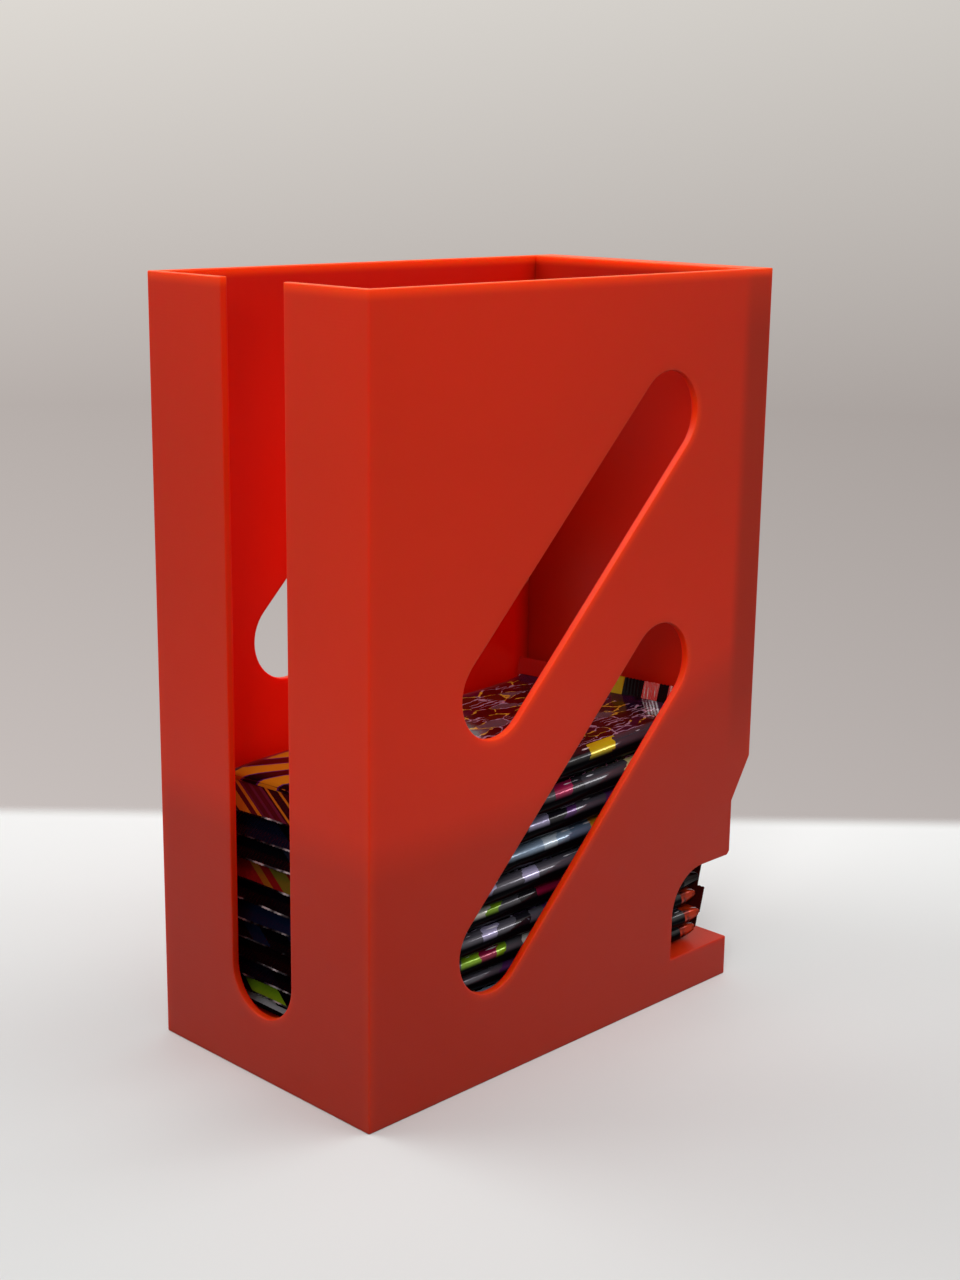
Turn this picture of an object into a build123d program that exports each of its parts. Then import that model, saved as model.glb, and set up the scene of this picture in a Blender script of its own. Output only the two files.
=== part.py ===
"""Gravity-fed organizer for foil card packs: one printed dispenser body and the packs it holds.

The frame: origin at the centre of the base's underside, +X towards the front mouth,
+Y across the body, +Z up. Lengths are in millimetres and angles in degrees.
"""
import math
import os

from build123d import *

# Cards: the standard trading card size, and how many a sealed pack holds
CARD_WIDTH = 63.0
CARD_LENGTH = 88.0
CARD_THICKNESS = 0.31
CARD_CORNER_RADIUS = 3.0
CARDS_IN_A_PACK = 10
CARD_PLAY = 0.1

# Foil packs: a film tube round the cards, pressed flat in a crimp at each end
FILM = 0.25
CRIMP_LENGTH = 8.0
TAPER_LENGTH = 9.0
CARD_END_PLAY = 1.0
CARD_SIDE_PLAY = 2.25
PACK_AIR = 0.61
PACK_SWELL = 0.16
FRONT_CRIMP_LEAN = 14.0
BACK_CRIMP_DROOP = 30.0
DROOP_STEP = 10.0

# The stack: level packs at the mouth, and packs above them that lean back and to +Y a little more each
PACK_COUNT = 11
LEVEL_PACKS = 4
LEAN_STEP = 0.35
ROLL_STEP = 0.26
PACK_GAP = 0.2
PACK_SCATTER = 0.8
SCATTER_TURN = 137.5

# Dispenser body: room round the packs, walls and floor slab
BACK_PLAY = 7.6
FRONT_PLAY = 5.4
SIDE_PLAY = 2.5
WALL = 2.0
FLOOR = 11.0
BODY_HEIGHT = 192.5
EDGE_RADIUS = 0.5

# Front wall: a mouth over the floor slab, a lower face, then a slope out to the upper face
MOUTH_HEIGHT = 24.0
LOWER_FACE_HEIGHT = 16.0
STEP_DEPTH = 7.0
STEP_RISE = 11.0
MOUTH_CHAMFER = 1.1
NOTCH_DEPTH = 24.0
NOTCH_RADIUS = 12.0

# View slots: two diagonal slots through both sides, and one in the back that is open at the rim
SLOT_WIDTH = 22.0
SLOT_SLOPE = 45.0
SLOT_FOOT = 23.2
SLOT_HEAD = 34.5
SLOT_STEP = 3.8
BACK_SLOT_WIDTH = 22.0
BACK_SLOT_SILL = 5.5

# How far every cut runs past the face that it opens
OVERRUN = 5.0

RIGHT_ANGLE = 90.0

CARD_STACK = CARD_THICKNESS * CARDS_IN_A_PACK
PACK_WIDTH = CARD_WIDTH + 2 * CARD_SIDE_PLAY + 2 * FILM
POUCH_LENGTH = CARD_LENGTH + 2 * (CARD_END_PLAY + TAPER_LENGTH)
PACK_THICKNESS = CARD_STACK + PACK_AIR + 2 * FILM

WELL_WIDTH = PACK_WIDTH + 2 * SIDE_PLAY
BODY_WIDTH = WELL_WIDTH + 2 * WALL
LOWER_LENGTH = POUCH_LENGTH + CRIMP_LENGTH + BACK_PLAY + FRONT_PLAY + 2 * WALL
BODY_LENGTH = LOWER_LENGTH + STEP_DEPTH

BACK_X = -BODY_LENGTH / 2
FRONT_X = BODY_LENGTH / 2
LEDGE_X = BACK_X + LOWER_LENGTH
MOUTH_TOP = FLOOR + MOUTH_HEIGHT
STEP_Z = MOUTH_TOP + LOWER_FACE_HEIGHT


def side_profile(inset, low, high):
    """The body's outline seen from the side, with its two ends taken in by inset."""
    back = BACK_X + inset
    front = FRONT_X - inset
    ledge = LEDGE_X - inset
    outline = Polyline(
        (back, low),
        (ledge, low),
        (ledge, STEP_Z),
        (front, STEP_Z + STEP_RISE),
        (front, high),
        (back, high),
        close=True,
    )
    return Plane.XZ * make_face(outline)


def across(profile, width):
    """A solid of the profile that reaches half the width to each side."""
    return extrude(profile, amount=width / 2, both=True)


def notch_profile():
    """The mouth seen from the side: open to the front, with one round corner at its back."""
    back = LEDGE_X - NOTCH_DEPTH
    front = FRONT_X + OVERRUN
    lines = Curve() + [
        Line((back, FLOOR), (back, MOUTH_TOP - NOTCH_RADIUS)),
        TangentArc((back, MOUTH_TOP - NOTCH_RADIUS), (back + NOTCH_RADIUS, MOUTH_TOP), tangent=(0, 1)),
        Line((back + NOTCH_RADIUS, MOUTH_TOP), (LEDGE_X - MOUTH_CHAMFER, MOUTH_TOP)),
        Line((LEDGE_X - MOUTH_CHAMFER, MOUTH_TOP), (LEDGE_X, MOUTH_TOP + MOUTH_CHAMFER)),
        Line((LEDGE_X, MOUTH_TOP + MOUTH_CHAMFER), (front, MOUTH_TOP + MOUTH_CHAMFER)),
        Line((front, MOUTH_TOP + MOUTH_CHAMFER), (front, FLOOR)),
        Line((front, FLOOR), (back, FLOOR)),
    ]
    return Plane.XZ * make_face(lines)


def view_slots():
    """Cutters for the two diagonal slots, which rise towards the front, one above the other."""
    rise = (BODY_HEIGHT - SLOT_HEAD - FLOOR - SLOT_FOOT - SLOT_STEP) / 2
    run = rise / math.tan(math.radians(SLOT_SLOPE))
    reach = math.hypot(rise, run)
    lower_middle = FLOOR + SLOT_FOOT + rise / 2
    upper_middle = lower_middle + rise + SLOT_STEP
    slot = Rot(0, 0, SLOT_SLOPE) * SlotCenterToCenter(reach, SLOT_WIDTH)
    slots = [Plane.XZ * Pos(0, middle) * slot for middle in (lower_middle, upper_middle)]
    return [across(face, BODY_WIDTH + 2 * OVERRUN) for face in slots]


def back_slot():
    """The back wall's slot: round at its sill and open at the rim."""
    radius = BACK_SLOT_WIDTH / 2
    sill = FLOOR + BACK_SLOT_SILL
    top = BODY_HEIGHT + OVERRUN
    middle = sill + radius
    lines = Curve() + [
        Line((-radius, top), (-radius, middle)),
        ThreePointArc((-radius, middle), (0, sill), (radius, middle)),
        Line((radius, middle), (radius, top)),
        Line((radius, top), (-radius, top)),
    ]
    face = Plane.YZ.offset(BACK_X) * make_face(lines)
    return extrude(face, amount=OVERRUN / 2, both=True)


def dispenser_body():
    """The print: an open-topped shell on a thick floor slab, cut for mouth, notches and slots."""
    body = across(side_profile(0, 0, BODY_HEIGHT), BODY_WIDTH)
    corners = body.edges().filter_by(Axis.Z)
    body = fillet(corners, min(EDGE_RADIUS, WALL / 2))
    body -= across(side_profile(WALL, FLOOR, BODY_HEIGHT + OVERRUN), WELL_WIDTH)
    body -= across(notch_profile(), BODY_WIDTH + 2 * OVERRUN)
    for slot in view_slots():
        body -= slot
    return body - back_slot()


def pack_thickness(number):
    """A pack's height: the ones higher up carry less weight and stay fuller."""
    return PACK_THICKNESS + PACK_SWELL * (number - 1)


def pillow(length, width, thickness, lip):
    """A pouch along X: long edges half round, ends drawn down to a flat mouth two lips high."""
    end = length / 2
    full = end - TAPER_LENGTH
    top = thickness / 2
    upper = [
        TangentArc((-full, top), (-end, lip), tangent=(-1, 0)),
        Line((-full, top), (full, top)),
        TangentArc((full, top), (end, lip), tangent=(1, 0)),
    ]
    lower = [mirror(edge, Plane.XZ) for edge in upper]
    mouths = [Line((x, -lip), (x, lip)) for x in (-end, end) if lip > 0]
    profile = Plane.XZ * make_face(Curve() + upper + lower + mouths)
    bar = extrude(Plane.YZ * SlotOverall(width, thickness), amount=length / 2, both=True)
    return across(profile, width) & bar


def crimp(end, turn):
    """A flat seal of two films, hinged at a pouch's mouth and turned up from +X."""
    strip = Rectangle(CRIMP_LENGTH + FILM, 2 * FILM, align=(Align.MIN, Align.CENTER))
    strip = Pos(end, 0) * Rot(0, 0, turn) * Pos(-FILM, 0) * strip
    return across(Plane.XZ * strip, PACK_WIDTH)


def pack_wrapper(thickness, droop):
    """A sealed film pouch: its front crimp stands up, and its back crimp hangs by droop."""
    room = pillow(POUCH_LENGTH, PACK_WIDTH - 2 * FILM, thickness - 2 * FILM, 0)
    pouch = pillow(POUCH_LENGTH, PACK_WIDTH, thickness, FILM)
    front = crimp(POUCH_LENGTH / 2, RIGHT_ANGLE - FRONT_CRIMP_LEAN)
    back = crimp(-POUCH_LENGTH / 2, 2 * RIGHT_ANGLE + droop)
    return pouch + front + back - room


def pack_cards(thickness):
    """The card stack, seated where the film's round edges let its corners down."""
    edge_radius = thickness / 2 - FILM
    flat_edge = PACK_WIDTH / 2 - FILM - edge_radius
    into_round = max(CARD_WIDTH / 2 + CARD_PLAY - flat_edge, 0)
    seat = edge_radius - math.sqrt(edge_radius ** 2 - into_round ** 2)
    bottom = seat + CARD_PLAY - edge_radius
    outline = RectangleRounded(CARD_LENGTH, CARD_WIDTH, CARD_CORNER_RADIUS)
    return extrude(Pos(0, 0, bottom) * outline, amount=CARD_STACK)


def back_droop(number):
    """How far a pack's back crimp hangs: the lowest ones have less room over the floor."""
    return min(DROOP_STEP * number, BACK_CRIMP_DROOP)


def stack_places():
    """Each pack's place, found from the back lower corner of its pouch at +Y, on which it leans."""
    back = BACK_X + WALL + BACK_PLAY + CRIMP_LENGTH
    seat = FLOOR + PACK_GAP
    places = []
    for number in range(1, PACK_COUNT + 1):
        thickness = pack_thickness(number)
        lean = LEAN_STEP * max(number - LEVEL_PACKS, 0)
        roll = ROLL_STEP * (number - 1)
        aside = PACK_SCATTER * math.sin(math.radians(SCATTER_TURN * number))
        hinge = Pos(back, PACK_WIDTH / 2 + aside, seat) * Rot(0, -lean, 0) * Rot(-roll, 0, 0)
        places.append(hinge * Pos(POUCH_LENGTH / 2, -PACK_WIDTH / 2, thickness / 2))
        seat += thickness / (math.cos(math.radians(lean)) * math.cos(math.radians(roll))) + PACK_GAP
    return places


os.makedirs("parts", exist_ok=True)
export_step(dispenser_body(), "parts/dispenser_body.step")
for index, place in enumerate(stack_places(), start=1):
    height = pack_thickness(index)
    wrapper = pack_wrapper(height, back_droop(index))
    export_step(place * wrapper, f"parts/pack_{index:02d}_wrapper.step")
    export_step(place * pack_cards(height), f"parts/pack_{index:02d}_cards.step")
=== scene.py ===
"""Looks for the card pack organizer: a satin translucent print and the foil packs stacked in it."""
import math

import bmesh
import bpy
import numpy as np
from mathutils import Matrix, Vector


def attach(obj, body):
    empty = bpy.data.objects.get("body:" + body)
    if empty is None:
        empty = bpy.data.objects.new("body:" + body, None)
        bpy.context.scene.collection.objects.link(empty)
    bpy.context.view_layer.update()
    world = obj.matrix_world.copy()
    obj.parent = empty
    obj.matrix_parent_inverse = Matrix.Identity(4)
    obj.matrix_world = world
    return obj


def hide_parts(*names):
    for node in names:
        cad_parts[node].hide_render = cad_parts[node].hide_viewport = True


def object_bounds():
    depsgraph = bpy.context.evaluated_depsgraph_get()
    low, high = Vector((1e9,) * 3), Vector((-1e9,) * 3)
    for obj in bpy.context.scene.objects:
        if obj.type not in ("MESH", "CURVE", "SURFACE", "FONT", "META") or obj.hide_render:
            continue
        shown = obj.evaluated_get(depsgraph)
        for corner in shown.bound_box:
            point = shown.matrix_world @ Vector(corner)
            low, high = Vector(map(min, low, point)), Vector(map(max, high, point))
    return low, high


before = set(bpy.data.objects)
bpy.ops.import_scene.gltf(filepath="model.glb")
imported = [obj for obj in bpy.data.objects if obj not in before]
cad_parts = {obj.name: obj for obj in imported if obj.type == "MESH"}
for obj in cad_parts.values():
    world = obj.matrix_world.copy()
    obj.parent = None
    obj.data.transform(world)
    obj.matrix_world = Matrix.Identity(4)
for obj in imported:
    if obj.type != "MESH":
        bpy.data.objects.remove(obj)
cad_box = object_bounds()

MM = 0.001
FULL_TURN = 2 * math.pi
# A wave texture of scale 1 repeats every 2 pi / 20
WAVE_REPEAT = FULL_TURN / 20
# A colour Mix node's inputs
FACTOR, UNDER, OVER = 0, 6, 7

# The camera, solved from the straight edges of the photograph
CAMERA_PLACE = Vector((-345.5, -342.0, 220.5)) * MM
CAMERA_YAW = math.radians(44.41)
CAMERA_PITCH = math.radians(14.05)
CAMERA_ROLL = math.radians(0.78)
CAMERA_LENS = 54.93
CAMERA_CLIP = 10 * MM
SENSOR = 36.0

# The floor is a sheet of pale paper, square to the camera, that ends softly before the backdrop
FLOOR_SIZE = 900 * MM
FLOOR_DEPTH = 139 * MM
FLOOR_SIDE = 300 * MM
FLOOR_FADE = 14 * MM
FLOOR_NEAR = "#dee0df"
FLOOR_FAR = "#f4f5f4"
FLOOR_BOUNCE = "#343230"

# The grey backdrop: its tones by the height of a line of sight, and its shade from left to right
BACKDROP_HEIGHTS = (-0.35, 0.1)
BACKDROP_TONES = ((0.0, "#c6bebb"), (0.5, "#b4aca8"), (1.0, "#e0dcd6"))
BACKDROP_REACH = 0.3
BACKDROP_SHADES = (1.05, 0.85)
# The light from all round grows with height
SKY_HEIGHTS = (-0.2, 0.6)
SKY_STRENGTHS = (0.12, 0.61)
SKY = "#ffffff"

# The print: its walls, openings and edges
WALL = 2 * MM
FLOOR_SLAB = 11 * MM
LEDGE_X = 63 * MM
STEP_Z = 51 * MM
SLOT_RADIUS = 11 * MM
SLOT_HALF_RUN = 30 * MM
SLOT_MIDDLES = (64.2 * MM, 128.0 * MM)
BACK_SLOT_LOW = 27.5 * MM
EDGE_ROUND = 0.3 * MM
EDGE_STEPS = 3
WELD = 0.001 * MM
FLAT_ANGLE = math.radians(1)
ROUNDED_ANGLE = math.radians(40)
PRINT_SHARP_ANGLE = math.radians(35)

# Painted glow for light inside the walls: at edges that look up to the lamps, the rim and the
# corners
PAINTED_GLOW = "#ff4a00"
GLOW_REACH = 2.4 * MM
GLOW_FACING = 0.8
SLOT_GLOWS = (0.36, 0.5)
SLANT = math.sqrt(0.5)
SILL_GLOW = 0.2
BACK_SKIN = 1.5 * WALL
RIM_GLOW = 2.8 * MM
CORNER_GLOW = 0.16
CORNER_REACH = 2.5 * MM
CORNER_FADE = (62 * MM, 124 * MM)

# Tones of the outer and inner skins, by share of the height: the red with painted light and shade
PAINTED_WALL_SHADING = (
    (0.0, "#c62806"), (0.315, "#c62806"), (0.37, "#da2c06"), (0.46, "#da2c06"), (0.62, "#d42b06"),
    (0.8, "#d42b06"), (1.0, "#de2d06"),
)
# The inner skin's deeper reds and its darker front are painted light and shade
PAINTED_INNER_LIGHT = ((0.42, "#f81600"), (1.0, "#d11400"))
PAINTED_INNER_FRONT_SHADE = "#c01903"
INNER_SKIN = (0.6 * WALL, 0.95 * WALL)
INNER_FRONT_FADE = (1.05 * WALL, 4 * WALL)
# Painted shade from the stack behind the walls, which rises towards the front from here on
STACK_TURN = -15 * MM
STACK_RISE = 0.33
# Painted shade on the side walls' front ends
PAINTED_BAND_SHADE = "#b62506"
BAND_EDGES = (12 * MM, 7.5 * MM)
BAND_FOOT = (62 * MM, 80.6 * MM)
BAND_FADE = 16 * MM
BAND_AT_RIM = 0.2

LAYER_LINE = 0.8 * MM
LAYER_DEPTH = 0.05 * MM
SKIN_GRAIN = 9 * MM
SKIN_DEPTH = 0.2 * MM
SKIN_ROUGHNESS = (0.34, 0.48)
LIGHT_REACH = 3 * MM

# A foil pack: its pouch from nose to nose, its taper and its crimped ends
POUCH_LENGTH = 108 * MM
TAPER_LENGTH = 9 * MM
CRIMP_LENGTH = 8 * MM
PACK_HALF_WIDTH = 34 * MM
WAIST = 0.7 * MM
FILM = 0.25 * MM
NOSE_LIP = 0.25 * MM
NOSE_RISE = 1.3 * MM
TOP_NOSE_RISE = 2.7 * MM
SLACK = 1.0
TOP_SLACK = 1.8
BLUNT = 2.8
FRONT_CRIMP_TURN = math.radians(76)
FULL_DROOP = math.radians(30)
CRIMP_FILM = 0.22 * MM
CARD_THICKNESS = 0.31 * MM

frame_top = cad_box[1].z
back_x = cad_box[0].x
front_x = cad_box[1].x
side_y = cad_box[1].y


def linear(code):
    """A hex sRGB colour as linear RGBA."""
    values = [int(code[i:i + 2], 16) / 255 for i in (1, 3, 5)]
    return [v / 12.92 if v <= 0.04045 else ((v + 0.055) / 1.055) ** 2.4 for v in values] + [1.0]


def add(tree, kind, inputs=None, stops=None, hold=False, **settings):
    """Adds a node: settings are its own options, and stops a ramp's (place, colour) pairs.

    Its inputs take values, sockets, or nodes, which stand for the first output that they use.
    """
    made = tree.nodes.new(kind)
    for name, value in settings.items():
        setattr(made, name, value)
    for name, value in (inputs or {}).items():
        if isinstance(value, bpy.types.Node):
            value = next(socket for socket in value.outputs if socket.enabled)
        if isinstance(value, bpy.types.NodeSocket):
            tree.links.new(value, made.inputs[name])
        else:
            made.inputs[name].default_value = value
    if stops:
        ramp = made.color_ramp
        ramp.interpolation = "CONSTANT" if hold else "LINEAR"
        while len(ramp.elements) < len(stops):
            ramp.elements.new(1.0)
        for stop, (place, colour) in zip(ramp.elements, stops):
            stop.position = place
            stop.color = linear(colour)
    return made


def new_material(name):
    """An empty node material: returns it, its tree and its output node."""
    material = bpy.data.materials.new(name)
    material.use_nodes = True
    material.node_tree.nodes.clear()
    output = material.node_tree.nodes.new("ShaderNodeOutputMaterial")
    return material, material.node_tree, output


def painted_slot_glow(tree, place, plane, start, end, lit, strength):
    """Painted glow at the edge of a round-ended slot: all on its lit side, none on the far one.

    The slot runs from start to end in a plane, and lit points from its middle to the lit side.
    """
    span = Vector(end) - Vector(start)
    flat = add(tree, "ShaderNodeVectorMath", {0: place, 1: plane}, operation="MULTIPLY")
    away = add(tree, "ShaderNodeVectorMath", {0: flat, 1: start}, operation="SUBTRACT")
    along = add(tree, "ShaderNodeVectorMath", {
        0: away, 1: span / span.length_squared}, operation="DOT_PRODUCT")
    held = add(tree, "ShaderNodeClamp", {0: along})
    nearest = add(tree, "ShaderNodeVectorMath", {0: span, "Scale": held}, operation="SCALE")
    off = add(tree, "ShaderNodeVectorMath", {0: away, 1: nearest}, operation="SUBTRACT")
    reach = add(tree, "ShaderNodeVectorMath", {0: off}, operation="LENGTH")
    near = add(tree, "ShaderNodeMapRange", {
        "Value": reach, "From Min": SLOT_RADIUS, "From Max": SLOT_RADIUS + GLOW_REACH,
        "To Min": 1.0, "To Max": 0.0}, interpolation_type="SMOOTHSTEP")
    side = add(tree, "ShaderNodeVectorMath", {0: off, 1: lit}, operation="DOT_PRODUCT")
    facing = add(tree, "ShaderNodeMapRange", {
        "Value": side, "From Max": GLOW_FACING * SLOT_RADIUS, "To Max": strength})
    return add(tree, "ShaderNodeMath", {0: near, 1: facing}, operation="MULTIPLY")


def painted_edge_glow(tree, place):
    """Painted glow at the slots' lower edges and back corners, for light filling a thin wall there.
    """
    axes = add(tree, "ShaderNodeSeparateXYZ", {0: place}).outputs
    glows = [
        painted_slot_glow(tree, place, (1, 0, 1), (-SLOT_HALF_RUN, 0, middle - SLOT_HALF_RUN),
                  (SLOT_HALF_RUN, 0, middle + SLOT_HALF_RUN), (SLANT, 0, -SLANT), strength)
        for middle, strength in zip(SLOT_MIDDLES, SLOT_GLOWS)
    ]
    sill = painted_slot_glow(tree, place, (0, 1, 1), (0, 0, BACK_SLOT_LOW), (0, 0, frame_top),
                     (0, 0, -1), SILL_GLOW)
    behind = add(tree, "ShaderNodeMath", {
        0: axes["X"], 1: back_x + BACK_SKIN}, operation="LESS_THAN")
    glows.append(add(tree, "ShaderNodeMath", {0: sill, 1: behind}, operation="MULTIPLY"))
    folded = add(tree, "ShaderNodeVectorMath", {0: place}, operation="ABSOLUTE")
    past = add(tree, "ShaderNodeVectorMath", {
        0: folded, 1: (-back_x, side_y, 0)}, operation="SUBTRACT")
    level = add(tree, "ShaderNodeVectorMath", {0: past, 1: (1, 1, 0)}, operation="MULTIPLY")
    reach = add(tree, "ShaderNodeVectorMath", {0: level}, operation="LENGTH")
    corner = add(tree, "ShaderNodeMapRange", {
        "Value": reach, "From Max": CORNER_REACH, "To Min": CORNER_GLOW, "To Max": 0.0})
    below = add(tree, "ShaderNodeMapRange", {
        "Value": axes["Z"], "From Min": CORNER_FADE[0], "From Max": CORNER_FADE[1],
        "To Min": 1.0, "To Max": 0.0})
    glows.append(add(tree, "ShaderNodeMath", {0: corner, 1: below}, operation="MULTIPLY"))
    glow = glows[0]
    for other in glows[1:]:
        glow = add(tree, "ShaderNodeMath", {0: glow, 1: other}, operation="MAXIMUM")
    return glow


def inner_skin(tree, axes):
    """1 on faces inside the well and 0 on outer ones; and 0 to 1 from its front face backwards."""
    ahead = add(tree, "ShaderNodeMath", {0: LEDGE_X, 1: axes["X"]}, operation="SUBTRACT")
    behind = add(tree, "ShaderNodeMath", {0: axes["X"], 1: back_x}, operation="SUBTRACT")
    aside = add(tree, "ShaderNodeMath", {0: axes["Y"]}, operation="ABSOLUTE")
    beside = add(tree, "ShaderNodeMath", {0: side_y, 1: aside}, operation="SUBTRACT")
    least = add(tree, "ShaderNodeMath", {0: axes["Z"], 1: FLOOR_SLAB}, operation="SUBTRACT")
    for other in (ahead, behind, beside):
        least = add(tree, "ShaderNodeMath", {0: least, 1: other}, operation="MINIMUM")
    inside = add(tree, "ShaderNodeMapRange", {
        "Value": least, "From Min": INNER_SKIN[0], "From Max": INNER_SKIN[1]})
    back = add(tree, "ShaderNodeMapRange", {
        "Value": ahead, "From Min": INNER_FRONT_FADE[0], "From Max": INNER_FRONT_FADE[1]})
    return inside, back


def painted_wall_shading(tree, axes, height):
    """Outer skin colour with painted shade: dark packs behind the walls let less light through."""
    ahead = add(tree, "ShaderNodeMath", {0: axes["X"], 1: STACK_TURN}, operation="MAXIMUM")
    rise = add(tree, "ShaderNodeMath", {0: ahead, 1: STACK_TURN}, operation="SUBTRACT")
    backed = add(tree, "ShaderNodeMath", {
        0: rise, 1: -STACK_RISE / frame_top, 2: height}, operation="MULTIPLY_ADD")
    return add(tree, "ShaderNodeValToRGB", {0: backed}, stops=PAINTED_WALL_SHADING)


def painted_front_shade(tree, axes):
    """Painted shade on the side walls' front ends, where the front wall keeps inner light from
    them.
    """
    band = add(tree, "ShaderNodeMapRange", {
        "Value": axes["X"], "From Min": front_x - BAND_EDGES[0],
        "From Max": front_x - BAND_EDGES[1]}, interpolation_type="SMOOTHSTEP")
    above = add(tree, "ShaderNodeMapRange", {
        "Value": axes["Z"], "From Min": BAND_FOOT[0], "From Max": BAND_FOOT[1]})
    fade = add(tree, "ShaderNodeMapRange", {
        "Value": axes["Z"], "From Min": frame_top - BAND_FADE, "From Max": frame_top,
        "To Min": 1.0, "To Max": BAND_AT_RIM})
    aside = add(tree, "ShaderNodeMath", {0: axes["Y"]}, operation="ABSOLUTE")
    outside = add(tree, "ShaderNodeMath", {
        0: aside, 1: side_y - WALL / 2}, operation="GREATER_THAN")
    for share in (above, fade, outside):
        band = add(tree, "ShaderNodeMath", {0: band, 1: share}, operation="MULTIPLY")
    return band


def printed_plastic():
    """Translucent PLA, printed in fine layers: a satin skin, with light that spreads inside."""
    material, tree, output = new_material("printed_translucent_pla")
    place = add(tree, "ShaderNodeTexCoord").outputs["Object"]
    axes = add(tree, "ShaderNodeSeparateXYZ", {0: place}).outputs
    height = add(tree, "ShaderNodeMath", {0: axes["Z"], 1: frame_top}, operation="DIVIDE")
    # Painted light: what has gone through a wall and back is a deeper red, less of it at the front
    inside, back = inner_skin(tree, axes)
    deep = add(tree, "ShaderNodeValToRGB", {0: height}, stops=PAINTED_INNER_LIGHT)
    deep = add(tree, "ShaderNodeMix", {
        FACTOR: back, UNDER: linear(PAINTED_INNER_FRONT_SHADE), OVER: deep}, data_type="RGBA")
    # Painted glow at the rim, for light that runs up inside the walls
    rim = add(tree, "ShaderNodeMapRange", {
        "Value": axes["Z"], "From Min": frame_top - RIM_GLOW, "From Max": frame_top,
    }, interpolation_type="SMOOTHSTEP")
    # Painted light and shade over the red: glow at edges and rim, shade at front ends, light inside
    colour = painted_wall_shading(tree, axes, height)
    tones = (
        (painted_edge_glow(tree, place), linear(PAINTED_GLOW)),
        (painted_front_shade(tree, axes), linear(PAINTED_BAND_SHADE)),
        (inside, deep),
        (rim, linear(PAINTED_GLOW)),
    )
    for share, tone in tones:
        colour = add(tree, "ShaderNodeMix", {
            FACTOR: share, UNDER: colour, OVER: tone}, data_type="RGBA")
    # Real layers are 0.2 mm, too fine to show: they are drawn four times as coarse
    layers = add(tree, "ShaderNodeTexWave", {
        "Vector": place, "Scale": WAVE_REPEAT / LAYER_LINE, "Distortion": 0.4,
    }, bands_direction="Z")
    grain = add(tree, "ShaderNodeTexNoise", {
        "Vector": place, "Scale": 1 / SKIN_GRAIN, "Detail": 3.0})
    rough = add(tree, "ShaderNodeMapRange", {
        "Value": grain, "To Min": SKIN_ROUGHNESS[0], "To Max": SKIN_ROUGHNESS[1]})
    lines = add(tree, "ShaderNodeBump", {
        "Height": layers.outputs["Fac"], "Strength": 0.12, "Distance": LAYER_DEPTH})
    skin = add(tree, "ShaderNodeBump", {
        "Height": grain, "Strength": 0.25, "Distance": SKIN_DEPTH, "Normal": lines})
    shader = add(tree, "ShaderNodeBsdfPrincipled", {
        "Base Color": colour,
        "Roughness": rough,
        "IOR": 1.46,
        "Specular IOR Level": 0.2,
        "Subsurface Weight": 1.0,
        "Subsurface Radius": (1.0, 0.22, 0.1),
        "Subsurface Scale": LIGHT_REACH,
        "Normal": skin,
    })
    tree.links.new(shader.outputs[0], output.inputs["Surface"])
    return material


# Bare film between the inks
SILVER = "#cfcacb"
# Prints of the packs: plain shards, strokes and bars in the colours that such packs have, the dark
# red bars partly painted red light
DESIGNS = {
    "ember": {
        "ground": "#120508", "shards": ("#2a080d", "#32180c", "#1e0f2a", "#4c4f58"),
        "strokes": ("#dcaa2e", "#b894ae"), "tail": ("#552470", "#c98c1a"),
        "edge": ("#3c3942", "#8d7f9c", "#16141a", "#b9adc6", "#c9ae14"),
        "bars": (SILVER, SILVER, "#0e0a0d", SILVER, "#b0920f"),
    },
    "bloom": {
        "ground": "#100d12", "shards": ("#5a0f2c", "#5f5a44", "#2a2530", "#4a4650"),
        "strokes": ("#b08f30", "#c07a9c"), "tail": ("#06060a", "#10152a"),
        "edge": ("#48454d", "#a31a50", "#d8cf92", "#2a272e", "#a8991a"),
        # Dark red crimp bars, here and below: print with painted red light from the walls in them
        "bars": ("#3c0a08", "#6a1410", "#4c0e0a", "#58100c"),
    },
    "dusk": {
        "ground": "#0e0c12", "shards": ("#4a465c", "#7f7a96", "#3c1c46", "#2c2a34"),
        "strokes": ("#9a86be", "#c2b6d6"), "tail": ("#07070c", "#121a30"),
        "edge": ("#55525d", "#a79fc2", "#5a2f6c", "#1c1a22", "#c9c4d6"),
        "bars": ("#340907", "#641311", "#440d0a", "#52100d"),
    },
    "frost": {
        "ground": "#0d0f13", "shards": ("#5a6a80", "#9a3a1c", "#8793a0", "#1c2748"),
        "strokes": ("#b8c2cb", "#d0905e"), "tail": ("#4a1812", "#5c5018"),
        "edge": ("#7f93aa", "#5c6f88", "#c44a1c", "#b6c3d0", "#d08a1a"),
        "bars": ("#380a08", "#601210", "#480d0a", "#540f0c"),
    },
    "meadow": {
        "ground": "#0d0d0f", "shards": ("#5f8216", "#b0aeaa", "#6e0f30", "#403e46"),
        "strokes": ("#d2cfd8", "#8cb024"), "tail": ("#09090d", "#5f8216"),
        "edge": ("#55535a", "#86b01e", "#dad8d2", "#8e123c", "#26252a"),
        "bars": ("#360a08", "#681310", "#460d0a", "#560f0c"),
    },
}
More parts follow.
